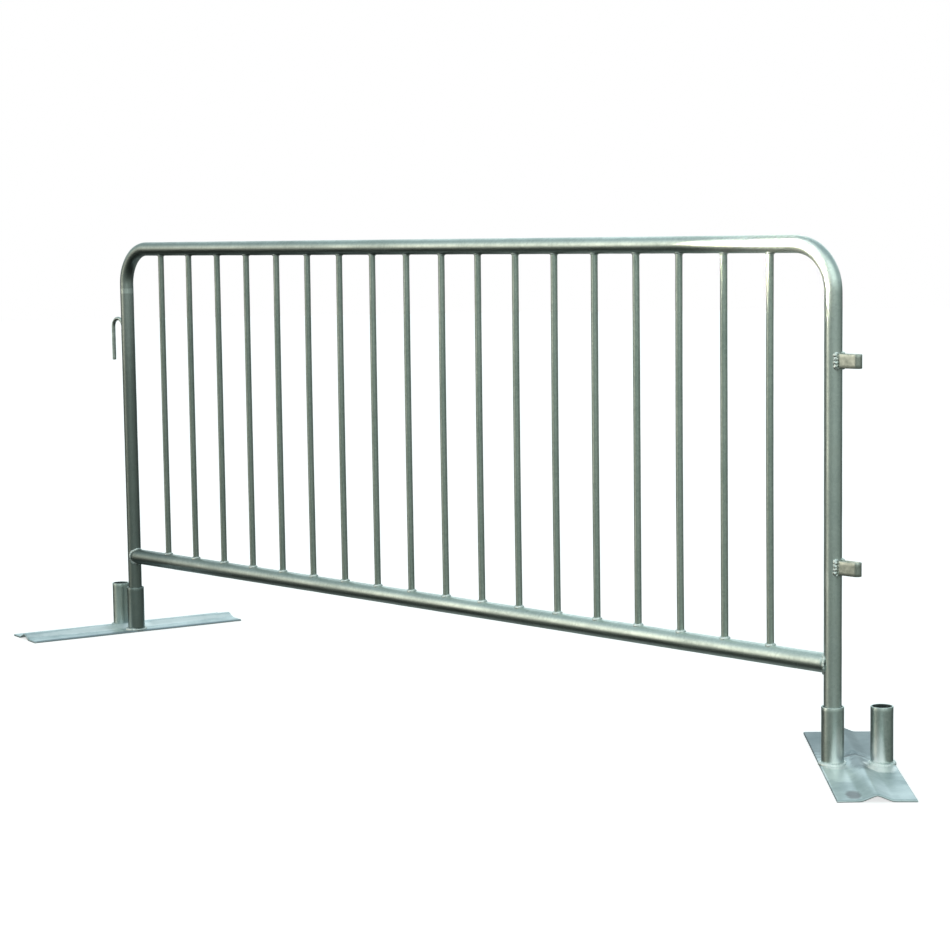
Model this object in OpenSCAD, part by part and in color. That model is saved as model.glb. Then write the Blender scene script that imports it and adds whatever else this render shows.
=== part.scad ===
// Crowd control barrier: a bent tube frame with upright bars, a latch hook, two latch loops
// and two loose base plates that swivel about the posts. All sizes are in millimetres.
// The origin is on the floor, under the axis of the left post. +X runs along the barrier.

/* [Frame] */
// Distance between the axes of the two posts
post_spacing = 2550; // [1700:10:3200]
// Height of the frame's top above the floor
frame_h = 1124; // [1040:1:1400]
// Outside diameter of the frame tube
tube_od = 38.1; // [31:0.1:46]
// Wall of the frame tube and of the bottom rail
tube_wall = 1.6; // [1.2:0.1:2.5]
// Radius of the two top bends, measured at the tube's centre line
bend_r = 100; // [70:1:119]
// Outside diameter of the bottom rail
rail_od = 42.4; // [30:0.1:46]
// Height of the bottom rail's axis above the floor
rail_z = 219.5; // [200:0.5:300]

/* [Infill bars] */
// Number of upright bars
bar_count = 18; // [8:1:24]
// Outside diameter of a bar
bar_od = 16; // [12:0.1:20]
// Wall of a bar
bar_wall = 1.2; // [1:0.1:2]
// Distance from a post's axis to the nearest bar's axis
end_gap = 170; // [130:1:220]

/* [Latch hook and loops] */
// Diameter of the hook's rod
hook_rod = 10.5; // [8:0.1:13]
// Radius of the hook's bend at the rod's centre line
hook_bend_r = 24; // [18:0.5:30]
// Height of the hook bend's centre above the floor
hook_z = 882; // [700:1:940]
// Length of the straight leg that is welded to the post
hook_leg = 45; // [30:1:60]
// Length of the straight free pin
hook_pin = 95; // [70:1:120]
// How deep the leg's side is ground to seat on the post
hook_seat = 0.3; // [0.2:0.05:0.5]
// Height of the upper loop's middle above the floor
upper_loop_z = 862; // [700:1:940]
// Height of the lower loop's middle above the floor
lower_loop_z = 427.5; // [300:0.5:560]
// Width of the loops' flat strap, which stands upright
strap_w = 30; // [20:1:40]
// Thickness of the loops' flat strap
strap_t = 4; // [3:0.5:6]
// Space between the hook's pin and the inside of a loop, on each side
loop_clear = 2.75; // [1.5:0.25:5]
// Distance from the post's axis to the outer end of a loop
loop_reach = 75; // [60:1:95]

/* [Bases] */
// Length of a base plate
plate_l = 650; // [500:5:900]
// Thickness of a base plate
plate_t = 5; // [4:0.5:8]
// Width of the folded ridge along the middle of a base plate
ridge_w = 55; // [40:1:70]
// Height that the ridge rises above the plate's flats
ridge_h = 12; // [8:0.5:20]
// Gap between the foot of the ridge and a socket
ridge_gap = 0.35; // [0.2:0.05:2]
// Flat that is left outside a socket
edge_margin = 4.35; // [4.2:0.05:12]
// Height of a socket above the plate
socket_h = 124; // [90:1:150]
// Wall of a socket
socket_wall = 3.2; // [2:0.1:5]
// Space between the post and the socket's bore, on each side
socket_clear = 1.9; // [1:0.1:3]
// Turn of the left base from square to the barrier, in degrees
left_turn = -11; // [-90:0.5:90]
// Turn of the right base from square to the barrier, in degrees
right_turn = 44.8; // [-90:0.1:90]

/* [Welds] */
// Leg of the welds round the bars
bar_weld = 3; // [2:0.5:4]
// Leg of the welds at the ends of the bottom rail
rail_weld = 3.5; // [2.5:0.5:5]
// Leg of the welds on the hook and the loops
latch_weld = 3.5; // [2:0.5:4]
// Length of the welds beside the hook's leg
hook_weld_l = 34; // [20:1:40]
// Leg of the welds round the sockets
socket_weld = 4; // [3:0.1:4.1]

/* [Hidden] */
$fn = 64;
// Gap between the foot of a post and the plate that it stands on
foot_gap = 0.3;
// How far a cutting shape runs past the surface that it cuts
over = 1;

tube_r = tube_od / 2;
rail_r = rail_od / 2;
bar_r = bar_od / 2;
rod_r = hook_rod / 2;
top_z = frame_h - tube_r;
foot_z = plate_t + foot_gap;
bar_pitch = (post_spacing - 2 * end_gap) / (bar_count - 1);
socket_bore_r = tube_r + socket_clear;
socket_r = socket_bore_r + socket_wall;
socket_x = ridge_w / 2 + ridge_gap + socket_r;
plate_w = 2 * (socket_x + socket_r + edge_margin);
ridge_rise = plate_t / cos(atan2(ridge_h, ridge_w / 2));
ridge_cavity_h = plate_t + ridge_h - ridge_rise;
ridge_cavity_x = ridge_cavity_h * ridge_w / 2 / ridge_h;
hook_x = tube_r + rod_r - hook_seat;
loop_in_r = rod_r + loop_clear;
loop_out_r = loop_in_r + strap_t;

function bar_name(i) = str("infill_bar_", i < 10 ? "0" : "", i);
function bar_x(i) = end_gap + (i - 1) * bar_pitch;

galvanised = [0.66, 0.71, 0.70];
bar_grey = [0.50, 0.56, 0.53];
plate_grey = [0.74, 0.82, 0.83];
socket_grey = [0.54, 0.60, 0.57];
weld_bright = [0.86, 0.91, 0.88];

// ---- shapes that several pieces share ----

// Solid that follows the frame's inverted U, with the feet carried down by extra
module u_path(r, extra = 0) {
    for (x = [0, post_spacing])
        translate([x, 0, foot_z - extra]) cylinder(r = r, h = top_z - bend_r - foot_z + extra);
    translate([bend_r, 0, top_z]) rotate([0, 90, 0]) cylinder(r = r, h = post_spacing - 2 * bend_r);
    translate([bend_r, 0, top_z - bend_r]) rotate([90, 0, 0]) quarter_bend(r, 90);
    translate([post_spacing - bend_r, 0, top_z - bend_r]) rotate([90, 0, 0]) quarter_bend(r, 0);
}

// Quarter of a ring, starting at an angle in its own plane
module quarter_bend(r, start) {
    rotate([0, 0, start]) rotate_extrude(angle = 90) translate([bend_r, 0]) circle(r = r);
}

// Solid cylinder on the bottom rail's axis, from post axis to post axis
module rail_rod(r) {
    translate([0, 0, rail_z]) rotate([0, 90, 0]) cylinder(r = r, h = post_spacing);
}

// Solid cylinder on the top rail's axis
module top_rod(r) {
    translate([0, 0, top_z]) rotate([0, 90, 0]) cylinder(r = r, h = post_spacing);
}

// Solid cylinder on a post's axis
module post_rod(x, r) {
    translate([x, 0, foot_z]) cylinder(r = r, h = top_z - bend_r - foot_z);
}

// Solid cylinder on a bar's axis, between the axes of the two rails
module bar_rod(i, r) {
    translate([bar_x(i), 0, rail_z]) cylinder(r = r, h = top_z - rail_z);
}

// Upright solid with a round outer end, from the right post's axis outwards
module loop_solid(r, reach, h) {
    end_x = post_spacing + reach - r;
    translate([end_x, 0, -h / 2]) cylinder(r = r, h = h);
    translate([post_spacing, -r, -h / 2]) cube([reach - r, 2 * r, h]);
}

// Section across a base plate: two flats and a folded ridge of the same thickness
module plate_section() {
    half = plate_w / 2;
    foot = ridge_w / 2;
    polygon([
        [-half, 0], [-ridge_cavity_x, 0], [0, ridge_cavity_h], [ridge_cavity_x, 0], [half, 0],
        [half, plate_t], [foot, plate_t], [0, plate_t + ridge_h], [-foot, plate_t], [-half, plate_t]
    ]);
}

// Puts a base, drawn with its plate along Y and centred on the origin, under a post.
// The post stands in the socket on the inner side; side is -1 for left and 1 for right.
module at_post(side) {
    post_x = side < 0 ? 0 : post_spacing;
    turn = side < 0 ? left_turn : right_turn;
    translate([post_x, 0, 0]) rotate([0, 0, turn]) translate([side * socket_x, 0, 0]) children();
}

// ---- pieces of the frame ----

module frame_tube() {
    color(galvanised) difference() {
        u_path(tube_r);
        u_path(tube_r - tube_wall, over);
    }
}

module bottom_rail() {
    color(galvanised) difference() {
        rail_rod(rail_r);
        rail_rod(rail_r - tube_wall);
        post_rod(0, tube_r);
        post_rod(post_spacing, tube_r);
    }
}

module infill_bar(i) {
    color(bar_grey) difference() {
        bar_rod(i, bar_r);
        bar_rod(i, bar_r - bar_wall);
        rail_rod(rail_r);
        top_rod(tube_r);
    }
}

// Rod bent into a hook, which drops into the neighbour's upper loop
module latch_hook() {
    bend_x = -hook_x - hook_bend_r;
    color(bar_grey) difference() {
        union() {
            translate([-hook_x, 0, hook_z - hook_leg]) cylinder(r = rod_r, h = hook_leg);
            translate([bend_x, 0, hook_z]) rotate([90, 0, 0])
                rotate_extrude(angle = 180) translate([hook_bend_r, 0]) circle(r = rod_r);
            translate([bend_x - hook_bend_r, 0, hook_z - hook_pin]) cylinder(r = rod_r, h = hook_pin);
        }
        post_rod(0, tube_r);
    }
}

// Flat strap bent into a U, with both ends on the post
module latch_loop(z) {
    color(galvanised) translate([0, 0, z]) difference() {
        loop_solid(loop_out_r, loop_reach, strap_w);
        loop_solid(loop_in_r, loop_reach - strap_t, strap_w + 2 * over);
        translate([0, 0, -z]) post_rod(post_spacing, tube_r);
    }
}

// ---- welds: the space within one leg of both pieces, outside the pieces ----

module rail_end_welds() {
    color(weld_bright) difference() {
        intersection() {
            rail_rod(rail_r + rail_weld);
            union() {
                post_rod(0, tube_r + rail_weld);
                post_rod(post_spacing, tube_r + rail_weld);
            }
        }
        rail_rod(rail_r);
        post_rod(0, tube_r);
        post_rod(post_spacing, tube_r);
    }
}

module bar_weld_ring(i) {
    difference() {
        intersection() {
            bar_rod(i, bar_r + bar_weld);
            children(0);
        }
        bar_rod(i, bar_r);
        children(1);
    }
}

module top_bar_welds() {
    color(weld_bright) for (i = [1 : bar_count]) bar_weld_ring(i) {
        top_rod(tube_r + bar_weld);
        top_rod(tube_r);
    }
}

module bottom_bar_welds() {
    color(weld_bright) for (i = [1 : bar_count]) bar_weld_ring(i) {
        rail_rod(rail_r + bar_weld);
        rail_rod(rail_r);
    }
}

module hook_welds() {
    low_z = hook_z - hook_leg + (hook_leg - hook_weld_l) / 2;
    color(weld_bright) difference() {
        intersection() {
            translate([-hook_x, 0, low_z]) cylinder(r = rod_r + latch_weld, h = hook_weld_l);
            translate([0, 0, low_z]) cylinder(r = tube_r + latch_weld, h = hook_weld_l);
        }
        translate([-hook_x, 0, low_z - over]) cylinder(r = rod_r, h = hook_weld_l + 2 * over);
        post_rod(0, tube_r);
    }
}

module loop_welds() {
    color(weld_bright) for (z = [lower_loop_z, upper_loop_z]) translate([0, 0, z]) difference() {
        intersection() {
            loop_solid(loop_out_r + latch_weld, loop_reach, strap_w + 2 * latch_weld);
            translate([0, 0, -z]) post_rod(post_spacing, tube_r + latch_weld);
        }
        loop_solid(loop_in_r - latch_weld, loop_reach, strap_w + 4 * latch_weld);
        difference() {
            loop_solid(loop_out_r, loop_reach, strap_w);
            loop_solid(loop_in_r, loop_reach - strap_t, strap_w + 2 * over);
        }
        translate([0, 0, -z]) post_rod(post_spacing, tube_r);
    }
}

// ---- pieces of a base ----

module base_plate(side) {
    color(plate_grey) at_post(side)
        translate([0, plate_l / 2, 0]) rotate([90, 0, 0]) linear_extrude(plate_l) plate_section();
}

// place is -1 for the socket that holds the post, 1 for the spare one
module base_socket(side, place) {
    color(socket_grey) at_post(side) translate([side * place * socket_x, 0, plate_t]) difference() {
        cylinder(r = socket_r, h = socket_h);
        translate([0, 0, -over]) cylinder(r = socket_bore_r, h = socket_h + 2 * over);
    }
}

module socket_welds(side) {
    color(weld_bright) at_post(side) difference() {
        for (x = [-socket_x, socket_x]) translate([x, 0, plate_t]) rotate_extrude()
            polygon([[socket_r, 0], [socket_r + socket_weld, 0], [socket_r, socket_weld]]);
        translate([0, plate_l / 2, 0]) rotate([90, 0, 0]) linear_extrude(plate_l) plate_section();
    }
}

frame_tube();
bottom_rail();
latch_hook();
latch_loop(upper_loop_z);  // upper_loop
latch_loop(lower_loop_z);  // lower_loop
for (i = [1 : bar_count]) {
    infill_bar(i);
}
rail_end_welds();
top_bar_welds();
bottom_bar_welds();
hook_welds();
loop_welds();
base_plate(-1);  // left_base_plate
base_socket(-1, -1);  // left_post_socket
base_socket(-1, 1);  // left_spare_socket
socket_welds(-1);  // left_socket_welds
base_plate(1);  // right_base_plate
base_socket(1, -1);  // right_post_socket
base_socket(1, 1);  // right_spare_socket
socket_welds(1);  // right_socket_welds
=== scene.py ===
"""Looks of a galvanised crowd control barrier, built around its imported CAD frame.

The frame gives every size and place. This script replaces the plain CAD tubes, straps, plates and
welds with detailed pieces of the same size, dresses them in hot-dip galvanised steel, and sets a
pale floor, soft light and a camera.
"""

import logging
import math
from dataclasses import dataclass
from enum import Enum
from typing import Iterable, Sequence

import bmesh
import bpy
from mathutils import Matrix, Vector, noise


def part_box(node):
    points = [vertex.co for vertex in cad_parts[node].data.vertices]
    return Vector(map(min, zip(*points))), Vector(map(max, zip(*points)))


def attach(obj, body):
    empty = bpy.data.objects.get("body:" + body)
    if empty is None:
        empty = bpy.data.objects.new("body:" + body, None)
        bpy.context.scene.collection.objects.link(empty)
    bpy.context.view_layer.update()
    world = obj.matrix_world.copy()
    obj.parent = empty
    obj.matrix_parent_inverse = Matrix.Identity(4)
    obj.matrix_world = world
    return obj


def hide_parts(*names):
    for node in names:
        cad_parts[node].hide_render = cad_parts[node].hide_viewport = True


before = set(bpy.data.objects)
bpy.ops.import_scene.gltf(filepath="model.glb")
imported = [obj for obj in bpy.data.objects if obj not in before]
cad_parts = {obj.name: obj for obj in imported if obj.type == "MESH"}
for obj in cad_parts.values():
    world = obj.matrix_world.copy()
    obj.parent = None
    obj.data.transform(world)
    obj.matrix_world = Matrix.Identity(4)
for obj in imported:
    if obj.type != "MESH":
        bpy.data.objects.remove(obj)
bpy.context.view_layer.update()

LOG = logging.getLogger("barrier")
Z_AXIS = Vector((0.0, 0.0, 1.0))
X_AXIS = Vector((1.0, 0.0, 0.0))
Y_AXIS = Vector((0.0, 1.0, 0.0))


class Body(Enum):
    """The CAD bodies that a piece can ride on."""

    FRAME = "frame"
    LEFT_BASE = "left_base"
    RIGHT_BASE = "right_base"


class Side(Enum):
    """Which end of the barrier a piece belongs to; the value points outwards along X."""

    LEFT = -1
    RIGHT = 1

    @property
    def prefix(self) -> str:
        """Start of the names of the CAD nodes at this end."""
        return "left_" if self is Side.LEFT else "right_"

    @property
    def body(self) -> Body:
        """The base body at this end."""
        return Body.LEFT_BASE if self is Side.LEFT else Body.RIGHT_BASE


# ---------------------------------------------------------------- node helpers


def step(tree: bpy.types.NodeTree, value: bpy.types.NodeSocket, low: float,
         high: float) -> bpy.types.NodeSocket:
    """Smooth step from 0 at low to 1 at high.

    Args:
        tree: The node tree.
        value: What is read.
        low: Where the step starts.
        high: Where it ends.

    Returns:
        The step's value.
    """
    node = tree.nodes.new("ShaderNodeMapRange")
    node.interpolation_type = "SMOOTHSTEP"
    node.inputs["From Min"].default_value = low
    node.inputs["From Max"].default_value = high
    tree.links.new(value, node.inputs["Value"])
    return node.outputs["Result"]


def mixed(tree: bpy.types.NodeTree, share: bpy.types.NodeSocket | None,
          first: bpy.types.NodeSocket | tuple[float, float, float],
          second: bpy.types.NodeSocket | tuple[float, float, float],
          blend: str = "MIX") -> bpy.types.NodeSocket:
    """Mixes two colours.

    Args:
        tree: The node tree.
        share: Share of the second colour, or None for all of it.
        first: A colour or a socket that gives one.
        second: A colour or a socket that gives one.
        blend: How the two are blended.

    Returns:
        The mixed colour.
    """
    node = tree.nodes.new("ShaderNodeMix")
    node.data_type = "RGBA"
    node.blend_type = blend
    factor = next(i for i in node.inputs if i.name == "Factor" and i.type == "VALUE")
    factor.default_value = 1.0
    if share is not None:
        tree.links.new(share, factor)
    for name, colour in (("A", first), ("B", second)):
        socket = next(i for i in node.inputs if i.name == name and i.type == "RGBA")
        if isinstance(colour, tuple):
            socket.default_value = (*colour, 1.0)
        else:
            tree.links.new(colour, socket)
    return next(o for o in node.outputs if o.type == "RGBA")


# ---------------------------------------------------------------- finishes


@dataclass(frozen=True)
class StainAndLightPatch:
    """A ragged patch of another colour on the object, used for real stains and for painted light and
    shade.

    The centre and the half sizes are in metres, the colour is linear RGB and the share is how much
    of the zinc it hides. It is full to CORE of its half size and fades out at RIM of it.
    """

    CORE = 0.7
    RIM = 1.2

    centre: tuple[float, float, float]
    size: tuple[float, float, float]
    colour: tuple[float, float, float]
    share: float = 0.8
    ragged: float = 0.7
    turn: float = 0.0

    def over(self, tree: bpy.types.NodeTree, place: bpy.types.NodeSocket,
             ragged: bpy.types.NodeSocket, colour: bpy.types.NodeSocket) -> bpy.types.NodeSocket:
        """Lays the patch over a colour.

        Args:
            tree: The material's node tree.
            place: The Object coordinates.
            ragged: Noise that breaks up the edge.
            colour: The colour under the patch.

        Returns:
            The colour with the patch.
        """
        centred = tree.nodes.new("ShaderNodeMapping")
        centred.vector_type = "TEXTURE"
        centred.inputs["Location"].default_value = self.centre
        centred.inputs["Rotation"].default_value = (0.0, 0.0, self.turn)
        centred.inputs["Scale"].default_value = self.size
        tree.links.new(place, centred.inputs["Vector"])
        ball = tree.nodes.new("ShaderNodeVectorMath")
        ball.operation = "LENGTH"
        tree.links.new(centred.outputs["Vector"], ball.inputs[0])
        spread = tree.nodes.new("ShaderNodeMath")
        spread.operation = "MULTIPLY_ADD"
        spread.inputs[1].default_value = self.ragged
        tree.links.new(ragged, spread.inputs[0])
        tree.links.new(ball.outputs["Value"], spread.inputs[2])
        edge = tree.nodes.new("ShaderNodeMapRange")
        edge.interpolation_type = "SMOOTHSTEP"
        edge.inputs["From Min"].default_value = self.RIM + self.ragged / 2
        edge.inputs["From Max"].default_value = self.CORE + self.ragged / 2
        edge.inputs["To Max"].default_value = self.share
        tree.links.new(spread.outputs["Value"], edge.inputs["Value"])
        return mixed(tree, edge.outputs["Result"], colour, self.colour)


@dataclass(frozen=True)
class Zinc:
    """A hot-dip galvanised steel finish.

    Colours are linear RGB. Lengths are in metres on the object. The noise spans are the parts of the
    blended noise over which the tint and the roughness change.
    """

    TINT_SPAN = (0.32, 0.68)
    ROUGH_SPAN = (0.3, 0.7)
    RAGGED_CELL = 0.017

    name: str
    dark: tuple[float, float, float]
    light: tuple[float, float, float]
    patch: float = 0.06
    stretch: tuple[float, float, float] = (1.0, 1.0, 1.0)
    spangle: float = 0.006
    spangle_share: float = 0.18
    rough_low: float = 0.30
    rough_high: float = 0.46
    grain: float = 0.0015
    grain_height: float = 0.00003
    ripple: float = 0.022
    ripple_height: float = 0.00022
    # Painted shade: colour factor from this value at the left end up to 1 across the span along X.
    left_shade: float = 0.0
    left_shade_span: tuple[float, float] = (-0.3, 2.2)
    # Patches laid over the colour: real stains, and painted shade, shadows, highlights and reflections.
    stains_and_light: tuple[StainAndLightPatch, ...] = ()

    def build(self) -> bpy.types.Material:
        """Makes the material.

        Returns:
            The new node-based material, on Object coordinates.
        """
        material = bpy.data.materials.new(self.name)
        material.use_nodes = True
        tree = material.node_tree
        shader = tree.nodes["Principled BSDF"]
        shader.inputs["Metallic"].default_value = 1.0
        place = tree.nodes.new("ShaderNodeTexCoord")
        stretched = tree.nodes.new("ShaderNodeMapping")
        stretched.inputs["Scale"].default_value = self.stretch
        tree.links.new(place.outputs["Object"], stretched.inputs["Vector"])
        patches = self._noise(tree, stretched.outputs["Vector"], 1.0 / self.patch, 4.0, 0.6)
        crystals = tree.nodes.new("ShaderNodeTexVoronoi")
        crystals.inputs["Scale"].default_value = 1.0 / self.spangle
        tree.links.new(place.outputs["Object"], crystals.inputs["Vector"])
        crystal_grey = tree.nodes.new("ShaderNodeRGBToBW")
        tree.links.new(crystals.outputs["Color"], crystal_grey.inputs["Color"])
        blend = tree.nodes.new("ShaderNodeMix")
        blend.inputs["Factor"].default_value = self.spangle_share
        tree.links.new(patches, blend.inputs["A"])
        tree.links.new(crystal_grey.outputs["Val"], blend.inputs["B"])
        tint = tree.nodes.new("ShaderNodeValToRGB")
        for stop, position, colour in zip(tint.color_ramp.elements, self.TINT_SPAN,
                                          (self.dark, self.light)):
            stop.position = position
            stop.color = (*colour, 1.0)
        tree.links.new(blend.outputs["Result"], tint.inputs["Fac"])
        tree.links.new(self._shade_and_patches(tree, place.outputs["Object"], tint.outputs["Color"]),
                       shader.inputs["Base Color"])
        rough = tree.nodes.new("ShaderNodeMapRange")
        rough.inputs["From Min"].default_value = self.ROUGH_SPAN[0]
        rough.inputs["From Max"].default_value = self.ROUGH_SPAN[1]
        rough.inputs["To Min"].default_value = self.rough_high
        rough.inputs["To Max"].default_value = self.rough_low
        tree.links.new(blend.outputs["Result"], rough.inputs["Value"])
        tree.links.new(rough.outputs["Result"], shader.inputs["Roughness"])
        grain = self._noise(tree, place.outputs["Object"], 1.0 / self.grain, 2.0, 0.5)
        ripple = self._noise(tree, stretched.outputs["Vector"], 1.0 / self.ripple, 2.0, 0.5)
        low = self._bump(tree, ripple, self.ripple_height, None)
        high = self._bump(tree, grain, self.grain_height, low)
        tree.links.new(high, shader.inputs["Normal"])
        return material

    def _shade_and_patches(self, tree: bpy.types.NodeTree, place: bpy.types.NodeSocket,
                   colour: bpy.types.NodeSocket) -> bpy.types.NodeSocket:
        """Darkens the zinc towards the left end as painted shade, and lays the patches over it.

        Args:
            tree: The material's node tree.
            place: The Object coordinates.
            colour: The zinc's colour.

        Returns:
            The colour with its painted shade and patches.
        """
        # Painted shade, darker towards the left end of the barrier.
        if self.left_shade:
            parts = tree.nodes.new("ShaderNodeSeparateXYZ")
            tree.links.new(place, parts.inputs["Vector"])
            along = step(tree, parts.outputs["X"], *self.left_shade_span)
            shade_factor = mixed(tree, along, tuple([self.left_shade] * 3), (1.0, 1.0, 1.0))
            colour = mixed(tree, None, colour, shade_factor, "MULTIPLY")
        if self.stains_and_light:
            ragged = self._noise(tree, place, 1.0 / self.RAGGED_CELL, 3.0, 0.6)
            for stain in self.stains_and_light:
                colour = stain.over(tree, place, ragged, colour)
        return colour

    @staticmethod
    def _noise(tree: bpy.types.NodeTree, vector: bpy.types.NodeSocket, scale: float,
               detail: float, roughness: float) -> bpy.types.NodeSocket:
        """Adds a noise texture.

        Args:
            tree: The node tree.
            vector: Where the texture reads its place.
            scale: Noise cells per metre.
            detail: Number of octaves.
            roughness: Weight of the finer octaves.

        Returns:
            The noise's value.
        """
        node = tree.nodes.new("ShaderNodeTexNoise")
        node.inputs["Scale"].default_value = scale
        node.inputs["Detail"].default_value = detail
        node.inputs["Roughness"].default_value = roughness
        tree.links.new(vector, node.inputs["Vector"])
        return node.outputs["Fac"]

    @staticmethod
    def _bump(tree: bpy.types.NodeTree, height: bpy.types.NodeSocket, distance: float,
              under: bpy.types.NodeSocket | None) -> bpy.types.NodeSocket:
        """Adds a bump node.

        Args:
            tree: The node tree.
            height: The height, from 0 to 1.
            distance: What a height of 1 stands for, in metres.
            under: The normal that the bump is laid on, if any.

        Returns:
            The bumped normal.
        """
        node = tree.nodes.new("ShaderNodeBump")
        node.inputs["Distance"].default_value = distance
        tree.links.new(height, node.inputs["Height"])
        if under is not None:
            tree.links.new(under, node.inputs["Normal"])
        return node.outputs["Normal"]


@dataclass(frozen=True)
class PlateSpots:
    """Places patches of stain and painted light on a base plate, in the plate's own axes."""

    middle: Vector
    turn: float
    depth: float = 0.05

    @classmethod
    def from_cad(cls, side: Side) -> "PlateSpots":
        """Measures a base's CAD nodes.

        Args:
            side: Which end of the barrier the base is at.

        Returns:
            The spots of that base's plate.
        """
        low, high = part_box(side.prefix + "base_plate")
        post, spare = (sum(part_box(side.prefix + part), Vector()) / 2
                       for part in ("post_socket", "spare_socket"))
        across = (spare - post) * side.value
        return cls((low + high) / 2, math.atan2(across.y, across.x))

    def stain(self, along: float, across: float, half: tuple[float, float],
              colour: tuple[float, float, float], share: float, ragged: float) -> StainAndLightPatch:
        """Makes a patch on the plate.

        Args:
            along: Distance of its centre from the sockets' line, towards the front.
            across: Distance of its centre from the ridge's line, towards the right.
            half: Half of its size across and along the plate.
            colour: Its linear colour.
            share: How much of the zinc it hides.
            ragged: How ragged its edge is.

        Returns:
            The patch, placed on the object.
        """
        sine, cosine = math.sin(self.turn), math.cos(self.turn)
        centre = (self.middle.x + along * sine + across * cosine,
                  self.middle.y - along * cosine + across * sine, 0.0)
        return StainAndLightPatch(centre, (*half, self.depth), colour, share, ragged, self.turn)


class Finishes:
    """The materials of the barrier, each made once."""

    def __init__(self) -> None:
        """Builds every finish that the pieces share."""
        # The tube, bar, socket and weld finishes carry painted shade that darkens them towards the left
        # end.
        self.tube = Zinc("zinc_tube", (0.58, 0.64, 0.61), (0.82, 0.88, 0.84), left_shade=0.58,
                         stretch=(0.35, 1.0, 0.35), stains_and_light=self._tube_marks()).build()
        self.bar = Zinc("zinc_bar", (0.46, 0.53, 0.48), (0.70, 0.76, 0.70), left_shade=0.62,
                        stretch=(1.0, 1.0, 0.22), patch=0.04).build()
        self.rod = Zinc("zinc_rod", (0.42, 0.47, 0.44), (0.66, 0.70, 0.67), patch=0.02).build()
        self.strap = Zinc("zinc_strap", (0.40, 0.42, 0.37), (0.68, 0.69, 0.63), patch=0.02).build()
        self.plate = Zinc("zinc_plate", (0.43, 0.51, 0.53), (0.68, 0.75, 0.77), patch=0.11,
                          spangle=0.011, spangle_share=0.07, rough_low=0.32, rough_high=0.46,
                          ripple=0.10, ripple_height=0.0006, stains_and_light=self._plate_marks()).build()
        self.socket = Zinc("zinc_socket", (0.50, 0.57, 0.54), (0.76, 0.82, 0.79), patch=0.03,
                           left_shade=0.66, stretch=(1.0, 1.0, 0.4), stains_and_light=self._socket_marks()).build()
        # Painted shade: near black zinc for the insides of the sockets' bores.
        self.bore_shade = Zinc("zinc_bore_shade", (0.05, 0.06, 0.06), (0.16, 0.18, 0.17), patch=0.02,
                         rough_low=0.6, rough_high=0.8).build()
        self.weld = Zinc("zinc_weld", (0.80, 0.86, 0.83), (1.0, 1.0, 0.98), patch=0.008,
                         spangle=0.003, rough_low=0.40, rough_high=0.6, ripple=0.004,
                         ripple_height=0.0003, left_shade=0.75).build()

    @staticmethod
    def _tube_marks() -> tuple[StainAndLightPatch, ...]:
        """Painted shade under the top rail and on the left post, a pale ring on that post, a run under a
        loop.

        Returns:
            The patches, in the order in which they are laid.
        """
        low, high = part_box("frame_tube")
        loop_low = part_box("lower_loop")[0].z
        bright = (0.90, 0.95, 0.92)
        rail_low, post_x = high.z - 0.038, low.x + 0.019
        ring_z, shade_z = 0.986, 0.36
        # Painted shade: a dark band along the underside of the top rail's left part.
        rail_underside_shade = StainAndLightPatch((low.x + 0.97, 0.0, rail_low), (1.1, 0.017, 0.009), (0.10, 0.13, 0.12),
                          0.75, 0.3)
        pale_ring = StainAndLightPatch((post_x, 0.0, ring_z), (0.04, 0.04, 0.0085), bright, 0.42, 0.2)
        # Painted shade: the lower left post is darkened.
        left_post_shade = StainAndLightPatch((post_x, 0.0, shade_z), (0.22, 0.08, 0.50), (0.17, 0.20, 0.19), 0.60, 0.3)
        loop_run = StainAndLightPatch((high.x - 0.022, -0.019, loop_low - 0.016), (0.007, 0.02, 0.026), bright,
                         0.8, 0.6)
        return rail_underside_shade, pale_ring, left_post_shade, loop_run

    @staticmethod
    def _socket_marks() -> tuple[StainAndLightPatch, ...]:
        """A darker left post socket, a paler left spare one, and bright patches at the feet of the right
        ones.

        Returns:
            The patches, in the order in which they are laid.
        """
        low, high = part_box("left_post_socket")
        middle = (low + high) / 2
        stains_and_light = [StainAndLightPatch(tuple(middle), (0.05, 0.05, 0.16), (0.20, 0.24, 0.23), 0.70, 0.5)]
        low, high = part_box("left_spare_socket")
        middle = (low + high) / 2
        stains_and_light.append(StainAndLightPatch(tuple(middle), (0.036, 0.036, 0.13), (0.62, 0.70, 0.66), 0.6, 0.4))
        for part, heading, share in (("right_post_socket", -24.0, 0.55),
                                     ("right_spare_socket", -78.0, 0.85)):
            low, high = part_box(part)
            middle, radius = (low + high) / 2, (high.x - low.x) / 2
            turn = math.radians(heading)
            foot = (middle.x + radius * math.cos(turn), middle.y + radius * math.sin(turn), low.z)
            stains_and_light.append(StainAndLightPatch(foot, (0.017, 0.017, 0.078), (1.0, 1.0, 1.0), share, 0.5))
        return tuple(stains_and_light)

    @staticmethod
    def _plate_marks() -> tuple[StainAndLightPatch, ...]:
        """Painted highlights, reflections and shade on the plates, and other darker marks.

        Returns:
            The patches, in the order in which they are laid.
        """
        white = (1.0, 1.0, 1.0)
        left, right = PlateSpots.from_cad(Side.LEFT), PlateSpots.from_cad(Side.RIGHT)
        # Painted highlight along the near slope of the left plate's ridge.
        ridge_highlight = left.stain(0.0, 0.018, (0.015, 0.36), white, 0.70, 0.4)
        verge = left.stain(0.0, 0.080, (0.016, 0.36), (0.30, 0.36, 0.41), 0.70, 0.5)
        far_half = right.stain(-0.22, 0.0, (0.13, 0.21), (0.15, 0.19, 0.21), 0.86, 0.8)
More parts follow.
